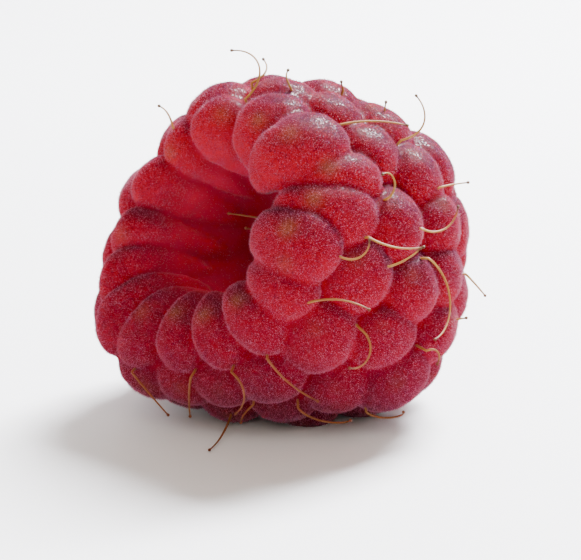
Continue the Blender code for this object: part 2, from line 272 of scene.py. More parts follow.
# Painted shade on the styles, which are painted darker and browner the lower they grow round the
# near side: the clock where that starts, over how many degrees it becomes full, the clock past which
# it ends, and how dark they get
STYLE_SHADE_FROM = 90
STYLE_SHADE_OVER = 35
STYLE_SHADE_UP_TO = 210
DEEPEST_STYLE_SHADE = 0.9

# The seeds that show through the rim's skin: arc, clock, height over the outline, how clearly
SEEDS = (
    (3.0, 359, 0.0, 0.5),
    (3.5, 26, 0.4, 0.9),
    (4.2, 45, 0.75, 1.0),
    (5.5, 60, 0.2, 0.8),
    (4.7, 72, 0.4, 0.9),
    (3.8, 86, 0.75, 1.0),
    (4.0, 100, 0.5, 0.3),
    (2.8, 130, 0.1, 0.7),
    (2.5, 154, 0.05, 0.7),
    (2.2, 177, 0.1, 0.7),
    (2.4, 200, 0.1, 0.4),
    (3.2, 253, -0.2, 0.3),
    (2.5, 317, 0.0, 0.5),
)
# Those behind the rim: how far from the crown, in half sizes and degrees, and how clearly at most
SEED_UP_THE_CROWN = 0.4
SEED_ASIDE_DEG = 4
OTHER_SEEDS_CLEAR = 0.35
SEED_DRAW = 5
SEED_SPREAD = 0.45

# Where the skin changes, in millimetres or as a share of facing the sun: where the change starts,
# and over how much it becomes full
CREASE_ROUNDS = 14
CREASE_DEPTH = 0.12
VALLEY_ROUNDS = 45
VALLEY_DEPTH = 0.30
# Painted shade: the skin facing the window and the skin low near the table are painted darker
SUNNY_FROM = -0.22
SUNNY_OVER = 0.75
LOW_BELOW = 9.0
LOW_OVER = 7.0
LOW_AS_DARK = 0.8
# Painted light: the skin high on the berry is painted a brighter red
HIGH_ABOVE = 11.0
HIGH_OVER = 5.0
INSIDE_FROM = 0.2
INSIDE_OVER = 3.0
MOUTH_REACH = 1.0
WALL_REACH = 1.3
END_REACH = 2.5

# How much of the fuzz is lost in a crease, in the cavity and where the sun shines, and what stays
FUZZ_LOST_IN_CREASE = 0.75
FUZZ_CREASE_DEPTH = 0.1
FUZZ_LOST_INSIDE = 0.85
FUZZ_LOST_IN_SUN = 0.6
FUZZ_SUN_FROM = 0.35
FUZZ_SUN_OVER = 0.6
THINNEST_FUZZ = 0.04
SKIN_ATTRIBUTES = ("crease", "inside", "seed", "sunny", "high", "fuzz")

# A hair's lean and turn in radians and its size, each drawn for every hair
HAIR_LEAN = 0.5
HAIR_TURN = 6.28
HAIR_SIZES = (0.5, 1.3)
LEAN_DRAW = 10
SIZE_DRAW = 20

# The skin's grain: how often each pattern repeats in a metre, and how strongly it shows
PATCHES = 250.0
MOTTLES = 900.0
GRAINS = 9000.0
SPECKS = 11000.0
PATCHES_AROUND = 0.45
# How much the creases lessen the painted shade
CREASE_DIMS_SUN = 0.2
CREASE_HIDES_GRAIN = 0.8
SEEDS_SHOW = 0.8
PORES_SHOW = 0.9
BLOOM_SHOWS = 0.30
SPECKS_SHOW = 0.75
SPARKLE = 0.32
# Between which values of the grain the pores, the bloom and the sparkle fade in, how far from the
# middle of its cell a speck does, and which cells hold one
PORES_FADE = (0.50, 0.30)
BLOOM_FADES = (0.52, 0.72)
SPARKLE_FADES = (0.5444, 0.6556)
SPECK_FADES = (0.4531, 0.1406)
SPECKED_CELLS = (0.55, 0.80)
# How rough it is at least and what the grain adds to it, and how high the grain, the specks and the
# mottles stand
LEAST_ROUGHNESS = 0.36
GRAIN_ROUGHENS = 0.24
GRAIN_STANDS = 0.6
SPECKS_STAND = 0.5
MOTTLES_STAND = 0.8

# The pale streaks of the styles: how often they repeat in a metre, where they start and how
# strongly they show, and how strongly the painted shade does
STREAKS = 2500.0
STREAKS_FROM = 0.35
STREAKS_SHOW = 0.8
STYLE_SHADE_SHOWS = 0.8

# The way to the window, which is also the side on which the drupelets' skin takes painted shade,
# the way to the fill light, and for each light its distance, size and colour
SUNNY_SIDE = (0.64, 0.04, 0.77)
WINDOW = (0.36, (0.13, 0.19), (0.96, 0.98, 1.0))
FILL_SIDE = (-0.75, -0.55, 0.75)
FILL = (0.35, (0.25, 0.25), (1.0, 0.90, 0.80))
AIR_COLOUR = (1.0, 0.87, 0.72)
LIT_HEIGHT = 0.009

# The table: where it starts in front, where it bends up, the bend, the top and the half width, in
# metres, how far it is turned, and how far it lies under the berry
TABLE_FRONT = -0.35
TABLE_BENDS_AT = 0.10
TABLE_BEND = 0.12
TABLE_BEND_STEPS = 12
TABLE_TOP = 0.5
TABLE_HALF_WIDTH = 0.45
TABLE_TURN_DEG = 38
TABLE_GAP = 0.00003

# The picture: where the camera looks from, in degrees and metres, and the point it looks at, in
# millimetres from the middle of the open end
VIEW_AZIMUTH = -50.0
VIEW_HEIGHT = 15.0
VIEW_DISTANCE = 0.120
LENS_PIXELS = 2130.0
PICTURE_PIXELS = 581
SENSOR_WIDTH = 36.0
LOOKED_AT = (8.0, 0.0, -4.9)
NEAREST_SEEN = 0.001


def outline():
    """(arc, along, radius) of points close together on the outline, from the cavity's end to the tip."""
    belly = BELLY_DIAMETER / 2
    quarter = [math.pi / 2 * k / OUTLINE_STEPS for k in range(OUTLINE_STEPS + 1)]
    wall = [(CAVITY_DEPTH, CAVITY_END_RADIUS)]
    lip = [
        (LIP_ROUND * (1 - math.sin(a)), HOLE_RADIUS + (LIP_RADIUS - HOLE_RADIUS) * (1 - math.cos(a)))
        for a in quarter
    ]
    front = [
        (BELLY_ALONG * (1 - math.cos(a)), LIP_RADIUS + (belly - LIP_RADIUS) * math.sin(a))
        for a in quarter[1:]
    ]
    back = [
        (
            BELLY_ALONG + (BERRY_LENGTH - BELLY_ALONG) * math.sin(a),
            belly * max(math.cos(a), 0.0) ** TIP_BLUNTNESS,
        )
        for a in quarter[1:]
    ]
    points = wall + lip + front + back
    arc = -math.dist(wall[0], lip[0])
    found = [(arc, *points[0])]
    for before, here in zip(points, points[1:]):
        arc += math.dist(before, here)
        found.append((arc, *here))
    return found


OUTLINE = outline()
CAVITY_ARC = OUTLINE[0][0]
FULL_ARC = OUTLINE[-1][0]


def on_outline(arc):
    """(along, radius) at that arc of the outline."""
    for (a0, x0, r0), (a1, x1, r1) in zip(OUTLINE, OUTLINE[1:]):
        if arc <= a1:
            share = (arc - a0) / (a1 - a0)
            return x0 + (x1 - x0) * share, r0 + (r1 - r0) * share
    return OUTLINE[-1][1:]


def turn_apart(a, b):
    """The angle from clock b to clock a, from -180 to 180."""
    return (a - b + 180) % 360 - 180


def rise(arc, clock):
    """How far the bulges and dents raise the outline there."""
    raised = 0.0
    for middle, spread, at, length, amount in SHAPE:
        off = (turn_apart(clock, middle) / spread) ** 2 + ((arc - at) / length) ** 2
        raised += amount * math.exp(-off)
    return raised


def crown_point(arc, clock):
    """The point of the outline at that arc and clock, with the berry's axis along +X."""
    along, radius = on_outline(arc)
    radius += rise(arc, clock) * min(1.0, radius / LIP_RADIUS)
    turn = math.radians(clock)
    return Vector((along, -radius * math.sin(turn), radius * math.cos(turn)))


def crown_axes(arc, clock):
    """Unit vectors round the berry, down the outline and outwards, at that point of the outline."""
    down = (crown_point(arc + ARC_STEP, clock) - crown_point(arc - ARC_STEP, clock)).normalized()
    around = (crown_point(arc, clock + CLOCK_STEP) - crown_point(arc, clock - CLOCK_STEP)).normalized()
    out = around.cross(down).normalized()
    return down.cross(out), down, out


def settled(free, fixed):
    """The free drupelets' arcs and clocks once they have been pushed, round by round, to sit evenly."""
    for _ in range(SETTLING_ROUNDS):
        points = [crown_point(*other) for other in fixed + free]
        moved = []
        for arc, clock in free:
            around, down, _ = crown_axes(arc, clock)
            push = Vector((0, 0, 0))
            for point in points:
                away = crown_point(arc, clock) - point
                if TINY < away.length < CROWD:
                    push += away.normalized() * (CROWD - away.length)
            radius = max(on_outline(arc)[1], SMALLEST_TURNING_RADIUS)
            arc = min(max(arc + SETTLING_PUSH * push.dot(down), FIRST_FREE_ARC), FULL_ARC - TIP_LEFT_FREE)
            turn = math.degrees(SETTLING_PUSH * push.dot(around) / radius)
            moved.append((arc, (clock + turn) % 360))
        free = moved
    return free


def layout():
    """(arc, clock, half size) of every drupelet behind the rim."""
    draw = random.Random(LAYOUT_SEED)
    rim = [(end - RIM_CROWN_BEFORE_END, clock) for clock, _, _, end, _, _ in RIM]
    fixed = [(arc, clock) for arc, clock, _ in PLACED] + rim
    free = []
    for row, arc in enumerate(ROW_ARCS):
        count = max(1, round(2 * math.pi * on_outline(arc)[1] / CROWD))
        for k in range(count):
            uneven = draw.uniform(-ROW_UNEVENNESS_DEG, ROW_UNEVENNESS_DEG)
            clock = (360 * (k + row % 2 / 2) / count + uneven) % 360
            here = crown_point(arc, clock)
            if all((here - crown_point(*other)).length > CLOSEST for other in fixed + free):
                free.append((arc, clock))
    free = settled(free, fixed)
    points = [crown_point(*other) for other in fixed + free]
    sized = []
    for arc, clock, size in [*PLACED, *((arc, clock, 1.0) for arc, clock in free)]:
        here = crown_point(arc, clock)
        gaps = sorted((here - point).length for point in points)[1 : NEIGHBOURS + 1]
        half = min(max(CROWN_SPREAD * sum(gaps) / len(gaps), SMALLEST_HALF), LARGEST_HALF)
        sized.append((arc, clock, size * half))
    return sized


DRUPELETS = layout()


def laid_down():
    """Tilts the berry, sets its lowest crown at the origin and turns millimetres to metres."""
    lie = Matrix.Rotation(math.radians(AXIS_TILT_DEG), 4, "Y")
    lowest = lie @ crown_point(*PLACED[-1][:2])
    lift = Matrix.Translation((-lowest.x, -lowest.y, -lowest.z - PRESSED_FLAT))
    return Matrix.Scale(MM, 4) @ lift @ lie


class Wire:
    """A socket of a node tree. Arithmetic on it adds Math nodes, and make() adds any other node."""

    def __init__(self, tree, socket=None):
        self.tree = tree
        self.socket = socket

    def make(self, kind, settings=None, inputs=None, output=0):
        """Adds a node, applies its settings, fills its sockets, and returns one of its outputs."""
        node = self.tree.nodes.new(kind)
        for name, value in (settings or {}).items():
            if name == "stops":
                for spare in list(node.color_ramp.elements)[1:]:
                    node.color_ramp.elements.remove(spare)
                for k, (place, colour) in enumerate(value):
                    stop = node.color_ramp.elements[0] if k == 0 else node.color_ramp.elements.new(place)
                    stop.position = place
                    stop.color = (*colour, 1)
            else:
                setattr(node, name, value)
        for name, value in (inputs or {}).items():
            if isinstance(value, Wire):
                self.tree.links.new(value.socket, node.inputs[name])
            else:
                node.inputs[name].default_value = value
        return Wire(self.tree, node.outputs[output] if len(node.outputs) else None)

    def beside(self, output):
        """Another output of the node that it comes from."""
        return Wire(self.tree, self.socket.node.outputs[output])

    def feed(self, node, name):
        """Links it to a socket of the node."""
        self.tree.links.new(self.socket, node.inputs[name])

    def math(self, operation, *values, clamp=False):
        """A Math node on the values, each a number or a Wire."""
        settings = {"operation": operation, "use_clamp": clamp}
        return self.make("ShaderNodeMath", settings, dict(enumerate(values)))

    def ramp(self, start, end):
        """0 where it is at start and 1 where it is at end, straight between and level beyond."""
        slope = 1 / (end - start)
        return self.math("MULTIPLY_ADD", self, slope, -start * slope, clamp=True)

    def mixed(self, factor, a, b, blend="MIX"):
        """Colour b over colour a by the factor."""
        settings = {"data_type": "RGBA", "blend_type": blend}
        return self.make("ShaderNodeMix", settings, {0: factor, 6: a, 7: b}, output=2)

    def __add__(self, other):
        return self.math("ADD", self, other)

    __radd__ = __add__

    def __mul__(self, other):
        return self.math("MULTIPLY", self, other)

    __rmul__ = __mul__

    def __sub__(self, other):
        return self.math("SUBTRACT", self, other)

    def __rsub__(self, other):
        return self.math("SUBTRACT", other, self)


def colour_property(name, description, colour):
    """A colour that a user would change."""
    return FloatVectorProperty(name=name, description=description, subtype="COLOR", default=colour)


def length_property(name, description, length):
    """A length in metres that a user would change."""
    unit = {"subtype": "DISTANCE", "unit": "LENGTH"}
    return FloatProperty(name=name, description=description, default=length, min=0, precision=6, **unit)


class RaspberrySkin(bpy.types.PropertyGroup):
    """The skin's fineness and colours."""

    cell: FloatProperty(
        name="Cell", description="How fine the skin's mesh is, in millimetres", default=0.155, min=0.1
    )
    # Painted shade: the darker skin on the side facing the window and low near the table
    painted_shade_colour: colour_property("Ripe", "The dark skin on the sunny side", (0.045, 0.0012, 0.010))
    red: colour_property("Red", "The skin away from the sun", (0.20, 0.0010, 0.0095))
    # Painted light: the brighter red given to the skin high on the berry
    crown: colour_property("Crown red", "The skin high on the berry", (0.28, 0.0008, 0.0095))
    # Painted glow in the creases, where light comes through the flesh; also the red of the random patches
    painted_glow_and_patches: colour_property("Glow", "The flesh where light comes through", (0.24, 0.0010, 0.009))
    core: colour_property("Core red", "The wall of the cavity", (0.42, 0.012, 0.045))
    seed: colour_property("Seed", "Where a seed shows through the skin", (0.24, 0.105, 0.045))
    pore: colour_property("Pore", "The dark grains of the skin", (0.05, 0.0005, 0.008))
    bloom: colour_property("Bloom", "The pale bloom on the skin", (0.28, 0.05, 0.11))
    speck: colour_property("Speck", "The palest specks of the bloom", (0.50, 0.20, 0.27))


class RaspberryFuzz(bpy.types.PropertyGroup):
    """The fine hairs."""

    coats: IntProperty(name="Coats", description="How many coats of hair it has", default=4, min=1, max=4)
    hairs: IntProperty(name="Hairs", description="Hairs in each coat", default=44000, min=100)
    length: length_property("Length", "Length of a hair", 0.00009)
    width: length_property("Width", "Width of a hair at its root", 0.0000145)
    colour: colour_property("Colour", "Colour of the hairs", (0.42, 0.12, 0.20))


class RaspberryStyles(bpy.types.PropertyGroup):
    """The dry styles."""

    width: length_property("Width", "Width of a style at its root", 0.000118)
    root: colour_property("Root", "Colour near the root", (0.32, 0.155, 0.028))
    middle: colour_property("Middle", "Colour along its length", (0.27, 0.130, 0.026))
    tip: colour_property("Tip", "Colour of its dry tip", (0.10, 0.045, 0.018))
    light: colour_property("Streak", "Colour of its pale streaks", (0.60, 0.45, 0.20))
    # Painted shade: the darker brown of the styles low on the near side and in the hole
    brown: colour_property("Brown", "Colour of those low down and in the hole", (0.16, 0.035, 0.012))


class RaspberryStage(bpy.types.PropertyGroup):
    """The table and its light."""

    floor: colour_property("Table", "Colour of the table", (0.89, 0.89, 0.92))
    key: FloatProperty(name="Window", description="Power of the main light, in watts", default=13.0, min=0)
    fill: FloatProperty(name="Fill", description="Power of the fill light, in watts", default=0.8, min=0)
    air: FloatProperty(name="Air", description="Strength of the light from all round", default=0.55, min=0)


class RaspberrySettings(bpy.types.PropertyGroup):
    """All that a user would change."""

    skin: PointerProperty(type=RaspberrySkin)
    fuzz: PointerProperty(type=RaspberryFuzz)
    styles: PointerProperty(type=RaspberryStyles)
    stage: PointerProperty(type=RaspberryStage)


def link(name, data):
    """A new object in the scene."""
    obj = bpy.data.objects.new(name, data)
    bpy.context.scene.collection.objects.link(obj)
    return obj


def finished_mesh(mesh, name):
    """The bmesh as mesh data with its faces outwards."""
    if mesh.calc_volume(signed=True) < 0:
        bmesh.ops.reverse_faces(mesh, faces=mesh.faces)
    data = bpy.data.meshes.new(name)
    mesh.to_mesh(data)
    mesh.free()
    return data


def apply_modifiers(obj):
    """Makes the shape that the object's modifiers give it its own."""
    graph = bpy.context.evaluated_depsgraph_get()
    shaped = bpy.data.meshes.new_from_object(obj.evaluated_get(graph))
    obj.modifiers.clear()
    old, obj.data = obj.data, shaped
    bpy.data.meshes.remove(old)


def flesh():
    """The thimble under the crowns, spun round the axis and then shaped to the outline."""
    mesh = bmesh.new()
    inner = np.linspace(CAVITY_ARC + LEFT_AT_CAVITY_END, -LEFT_AT_EDGE, FLESH_RINGS_INSIDE)
    outer = np.linspace(0, FULL_ARC - LEFT_AT_TIP, FLESH_RINGS_OUTSIDE)
    arcs = np.concatenate((inner, outer))
    line = [mesh.verts.new((float(arc), 0, 1)) for arc in arcs]
    edges = [mesh.edges.new(pair) for pair in zip(line, line[1:])]
    bmesh.ops.spin(
        mesh,
        geom=[*line, *edges],
        cent=(0, 0, 0),
        axis=(1, 0, 0),
        angle=2 * math.pi,
        steps=FLESH_TURN_STEPS,
        use_merge=True,
    )
    for vertex in mesh.verts:
        arc, clock = vertex.co.x, math.degrees(math.atan2(-vertex.co.y, vertex.co.z))
        outside = min(max(arc / FLESH_CHANGES_OVER, 0), 1)
        below = FLESH_BELOW_IN_CAVITY + (FLESH_BELOW - FLESH_BELOW_IN_CAVITY) * outside
        vertex.co = crown_point(arc, clock) - crown_axes(arc, clock)[2] * below
    bmesh.ops.holes_fill(mesh, edges=[edge for edge in mesh.edges if edge.is_boundary])
    caps = [face for face in mesh.faces if len(face.verts) > 4]
    bmesh.ops.poke(mesh, faces=caps)
    bmesh.ops.recalc_face_normals(mesh, faces=mesh.faces)
    return finished_mesh(mesh, "flesh")


def rim_drupelet(clock, half_turn, start, end, lift, lean):
    """A long drupelet bent over the lip, shaped from a ball whose poles are its two ends."""
    mesh = bmesh.new()
    turned = Matrix.Rotation(math.pi / 2, 4, "Y")
    bmesh.ops.create_uvsphere(
        mesh, u_segments=RIM_SEGMENTS, v_segments=RIM_SEGMENTS, radius=1.0, matrix=turned
    )
    middle, reach = (start + end) / 2, (end - start) / 2
    for vertex in mesh.verts:
        along, side, up = vertex.co
        arc = middle + reach * along * SHORT_OF_THE_POLE
        fullness = max(1 - abs(along * SHORT_OF_THE_POLE) ** RIM_FULLNESS, 0.0)
        height = RIM_HEIGHT * min(RIM_HEIGHT_GROWS_TO, on_outline(arc)[1] / LIP_RADIUS)
        top = lift - height * (1 - fullness**0.5)
        width = half_turn * fullness ** (1 / RIM_FULLNESS)
        ring = math.hypot(side, up)
        across, up = (side / ring, up / ring) if ring > TINY else (0.0, 1.0)
        if up >= 0:
            sunk = height * (1 - max(0.0, 1 - abs(across) ** CROWN_FULLNESS) ** (1 / CROWN_FULLNESS))
        else:
            sunk = height + RIM_ROOT_DEPTH * -up
        out = crown_axes(arc, clock)[2]
        vertex.co = crown_point(arc, clock + width * across) + out * (top - sunk + lean * across)
    return finished_mesh(mesh, "rim_drupelet")


def drupelet(arc, clock, half):
    """A rounded drupelet, its crown on the outline and its root sunk in the flesh."""
    mesh = bmesh.new()
    bmesh.ops.create_uvsphere(mesh, u_segments=CROWN_SEGMENTS, v_segments=CROWN_RINGS, radius=1.0)
    around, down, out = crown_axes(arc, clock)
    top = crown_point(arc, clock)
    for vertex in mesh.verts:
        x, y, z = vertex.co
        share = math.hypot(x, y)
        fullness = (share**CROWN_FULLNESS + abs(z) ** CROWN_FULLNESS) ** (-1 / CROWN_FULLNESS)
        depth = half * (1 - z * fullness) if z >= 0 else half - z * ROOT_DEPTH
        width = half * (fullness if z >= 0 else 1)
        vertex.co = top + around * (x * width) + down * (y * width) - out * depth
    return finished_mesh(mesh, "drupelet")


def keep_largest_shell(obj):
    """Fills the sealed pockets between drupelets with flesh."""
    mesh = bmesh.new()
    mesh.from_mesh(obj.data)
    left = set(mesh.verts)
    shells = []
    while left:
        shell, rim = set(), [left.pop()]
        while rim:
            vertex = rim.pop()
            shell.add(vertex)
            for edge in vertex.link_edges:
                other = edge.other_vert(vertex)
                if other in left:
                    left.remove(other)
                    rim.append(other)
        shells.append(shell)
    shells.sort(key=len)
    for shell in shells[:-1]:
        bmesh.ops.delete(mesh, geom=list(shell), context="VERTS")
    mesh.to_mesh(obj.data)
    mesh.free()


def coordinates(data):
    """The mesh's vertices as an array."""
    places = np.empty(len(data.vertices) * 3, np.float32)
    data.vertices.foreach_get("co", places)
    return places.reshape(-1, 3).astype(float)


def set_coordinates(data, places):
    """Moves the mesh's vertices to those places."""
    data.vertices.foreach_set("co", places.astype(np.float32).ravel())
    data.update()


def press_flat(data):
    """Flattens against the table what would go through it."""
    places = coordinates(data)
    places[:, 2] = np.maximum(places[:, 2], 0.0)
    set_coordinates(data, places)


def edges_of(data):
    """The mesh's edges as an array of pairs of vertices."""
    edges = np.empty(len(data.edges) * 2, np.int32)
    data.edges.foreach_get("vertices", edges)
    return edges.reshape(-1, 2)


def smoothed(places, edges, rounds):
    """The vertices after each has been moved, round by round, to the middle of its neighbours."""
    count = np.bincount(edges.ravel(), minlength=len(places))[:, None]
    for _ in range(rounds):
        total = np.zeros_like(places)
        np.add.at(total, edges[:, 0], places[edges[:, 1]])
        np.add.at(total, edges[:, 1], places[edges[:, 0]])
        places = total / count
    return places


def set_attribute(data, name, values):
    """Stores one number for each vertex."""
    attribute = data.attributes.get(name) or data.attributes.new(name, "FLOAT", "POINT")
    attribute.data.foreach_set("value", np.ascontiguousarray(values, np.float32))


def normals_of(data):
    """The mesh's vertex normals as an array."""
    normals = np.empty(len(data.vertices) * 3, np.float32)
    data.vertex_normals.foreach_get("vector", normals)
    return normals.reshape(-1, 3).astype(float)


def rising(values, start, over):
    """0 up to the start, and then rising straight to 1 over that much."""
    return np.clip((values - start) / over, 0, 1)


def seed_spots():
    """(place, how clearly it shows) of the seed under each drupelet's skin."""
    draw = random.Random(SEED_DRAW)
    spots = []
    for arc, clock, height, clear in SEEDS:
        spots.append((crown_point(arc, clock) + crown_axes(arc, clock)[2] * height, clear))
    for arc, clock, half in DRUPELETS:
        place = crown_point(arc - SEED_UP_THE_CROWN * half, clock - SEED_ASIDE_DEG)
        spots.append((place, draw.uniform(0.0, OTHER_SEEDS_CLEAR)))
    return spots


def shade_attributes(data):
    """Stores where the skin is creased, takes painted shade or painted light, lies in the cavity or over a
    seed, and how fuzzy.
    """
    places = coordinates(data)
    edges = edges_of(data)
    normals = normals_of(data)
    crease = ((smoothed(places, edges, CREASE_ROUNDS) - places) * normals).sum(1)
    valley = ((smoothed(places, edges, VALLEY_ROUNDS) - places) * normals).sum(1)
    creased = np.maximum(rising(crease, 0, CREASE_DEPTH), rising(valley, 0, VALLEY_DEPTH))
    set_attribute(data, "crease", creased)

    # Painted shade: darker skin where it faces the window and where it lies low near the table
    lie = laid_down()
    sun = (lie.to_3x3().inverted() @ Vector(SUNNY_SIDE)).normalized()
    facing_sun = normals @ np.array(sun)
    height = (places @ np.array(lie)[2, :3] + lie[2][3]) / MM
    low = LOW_AS_DARK * rising(-height, -LOW_BELOW, LOW_OVER)
    set_attribute(data, "sunny", np.maximum(rising(facing_sun, SUNNY_FROM, SUNNY_OVER), low))
    # Painted light: how far up the berry the skin is painted a brighter red
    set_attribute(data, "high", rising(height, HIGH_ABOVE, HIGH_OVER))

    along = places[:, 0]
    radius = np.hypot(places[:, 1], places[:, 2])
    wall = HOLE_RADIUS + (CAVITY_END_RADIUS - HOLE_RADIUS) * along / CAVITY_DEPTH
    near_wall = (radius < wall + WALL_REACH) & (along < CAVITY_DEPTH + END_REACH) & (along > -MOUTH_REACH)
    inside = np.where(near_wall, rising(along, INSIDE_FROM, INSIDE_OVER), 0)
    set_attribute(data, "inside", inside)

    shown = np.zeros(len(places))
    for place, clearness in seed_spots():
        away = np.linalg.norm(places - np.array(place), axis=1)
        shown = np.maximum(shown, clearness * np.exp(-((away / SEED_SPREAD) ** 2)))
    set_attribute(data, "seed", shown)

    lost = FUZZ_LOST_IN_CREASE * rising(crease, 0, FUZZ_CREASE_DEPTH) + FUZZ_LOST_INSIDE * inside
    lost += FUZZ_LOST_IN_SUN * rising(facing_sun, FUZZ_SUN_FROM, FUZZ_SUN_OVER)
    set_attribute(data, "fuzz", np.clip(1 - lost, THINNEST_FUZZ, 1))


def new_material(name, constants):
    """A material, a Wire on its tree, and its shader with those constants on its sockets."""
    material = bpy.data.materials.new(name)
    material.use_nodes = True
    shader = material.node_tree.nodes["Principled BSDF"]
    for socket, value in constants.items():
        shader.inputs[socket].default_value = value
    return material, Wire(material.node_tree), shader


def stored(wire, name):
    """The number that the mesh stores under that name."""
    return wire.make("ShaderNodeAttribute", {"attribute_name": name}, output="Fac")


def grain(wire, place, scale, detail=2.0, roughness=0.5):
    """Soft noise that repeats about so often in a metre."""
    inputs = {"Vector": place, "Scale": scale, "Detail": detail, "Roughness": roughness}
    return wire.make("ShaderNodeTexNoise", inputs=inputs)


def skin_material(skin):
    """Ripe translucent flesh with a fine pale grain, yellowish seeds, a painted glow of brighter red in
    the creases, and painted shade and light.
    """
    constants = {
        "Subsurface Weight": 1.0,
        "Subsurface Radius": (1.3, 0.12, 0.08),
        "Subsurface Scale": 0.0011,
        "IOR": 1.38,
        "Specular IOR Level": 0.04,
        "Specular Tint": (1.0, 0.75, 0.88, 1),
        "Coat Roughness": 0.19,
        "Sheen Weight": 0.13,
        "Sheen Roughness": 0.33,
        "Sheen Tint": (1.0, 0.45, 0.68, 1),
    }
    material, wire, shader = new_material("raspberry_skin", constants)
    place = wire.make("ShaderNodeTexCoord", output="Object")
    crease, inside, seed, sunny, high = (
        stored(wire, name) for name in ("crease", "inside", "seed", "sunny", "high")
    )
    patchy = grain(wire, place, PATCHES)
    mottled = grain(wire, place, MOTTLES, detail=3.0)
    fine = grain(wire, place, GRAINS, roughness=0.7)
    cells = wire.make("ShaderNodeTexVoronoi", {"feature": "F1"}, {"Vector": place, "Scale": SPECKS})
    specks = cells.ramp(*SPECK_FADES) * cells.beside("Color").ramp(*SPECKED_CELLS)

    seed = wire.math("MULTIPLY", seed, mottled + 0.2, clamp=True)
    outer = (1 - inside) * (1 - crease * CREASE_HIDES_GRAIN)
    colour = (*skin.red, 1)
    for share, over in (
        # Painted light: a brighter red high on the berry
        (high, skin.crown),
        # Painted glow: a brighter red in the creases, as light coming through the flesh
        (crease, skin.painted_glow_and_patches),
        # Painted shade: darker skin facing the window and low near the table
        (sunny * (1 - crease * CREASE_DIMS_SUN), skin.painted_shade_colour),
        (patchy - PATCHES_AROUND, skin.painted_glow_and_patches),
        (inside, skin.core),
        (seed * SEEDS_SHOW, skin.seed),
        (fine.ramp(*PORES_FADE) * outer * PORES_SHOW, skin.pore),
        (fine.ramp(*BLOOM_FADES) * outer * BLOOM_SHOWS, skin.bloom),
        (specks * outer * SPECKS_SHOW, skin.speck),
    ):
        colour = wire.mixed(share, colour, (*over, 1))
    colour.feed(shader, "Base Color")
    (fine.ramp(*SPARKLE_FADES) * SPARKLE).feed(shader, "Coat Weight")
    (LEAST_ROUGHNESS + fine * GRAIN_ROUGHENS).feed(shader, "Roughness")
    height = fine * GRAIN_STANDS + specks * SPECKS_STAND + mottled * MOTTLES_STAND
    bump = wire.make("ShaderNodeBump", inputs={"Strength": 0.9, "Distance": 0.00006, "Height": height})
    bump.feed(shader, "Normal")
    return material


def grow_together(obj, others):
    """Joins the other meshes to the object's own, with no pocket left between them."""
    grown = bpy.data.collections.new("drupelets")
    bpy.context.scene.collection.children.link(grown)
    for data in others:
        grown.objects.link(bpy.data.objects.new(data.name, data))
    union = obj.modifiers.new("grown_together", "BOOLEAN")
    union.operation = "UNION"
    union.operand_type = "COLLECTION"
    union.collection = grown
    union.solver = "MANIFOLD"
    apply_modifiers(obj)
    for one in list(grown.objects):
        bpy.data.meshes.remove(one.data)
    bpy.data.collections.remove(grown)
    if not obj.data.polygons:
        raise RuntimeError("the drupelets didn't join")
    keep_largest_shell(obj)


def even_cells(obj, cell):
    """Remakes the mesh in cells of one size, in millimetres."""
    even = obj.modifiers.new("even_cells", "REMESH")
    even.mode = "VOXEL"
    even.voxel_size = cell
    apply_modifiers(obj)


def dented(place):
    """How far the skin is raised there by its small dents, from -1.5 to 1.5."""
    broad, fine = noise.noise(Vector(place) * BROAD_DENTS), noise.noise(Vector(place) * FINE_DENTS)
    return broad + FINE_DENT_SHARE * fine


def finish_skin(data):
    """Dents the skin a little and sharpens the furrows between the drupelets."""
    edges = edges_of(data)
    places = smoothed(coordinates(data), edges, 1)
    set_coordinates(data, places)
    dents = np.array([dented(place) for place in places])
    raised = normals_of(data) * (DENT_DEPTH * dents)[:, None]
    sharpened = SHARPENING * (places - smoothed(places, edges, SHARPENING_ROUNDS))
    set_coordinates(data, places + raised + sharpened)


class RASPBERRY_OT_skin(bpy.types.Operator):
    """Grow the drupelets together into one closed skin round the cavity"""

    bl_idname = "raspberry.skin"
    bl_label = "Skin"

    def execute(self, context):
        skin = context.scene.raspberry.skin
        obj = link("berry_skin", flesh())
        grow_together(obj, [*(rim_drupelet(*one) for one in RIM), *(drupelet(*one) for one in DRUPELETS)])
        even_cells(obj, skin.cell)
        data = obj.data
        finish_skin(data)
        shade_attributes(data)
        data.transform(laid_down())
        press_flat(data)
        data.shade_smooth()
        data.materials.clear()
        data.materials.append(skin_material(skin))
        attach(obj, "root")
        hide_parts("raspberry")
        return {"FINISHED"}


def hair_material(colour):
    """Pale dry hair that lets some light through."""
    constants = {
        "Base Color": (*colour, 1),
        "Roughness": 0.35,
        "Transmission Weight": 0.25,
        "Specular IOR Level": 0.3,
    }
    return new_material("raspberry_hair", constants)[0]


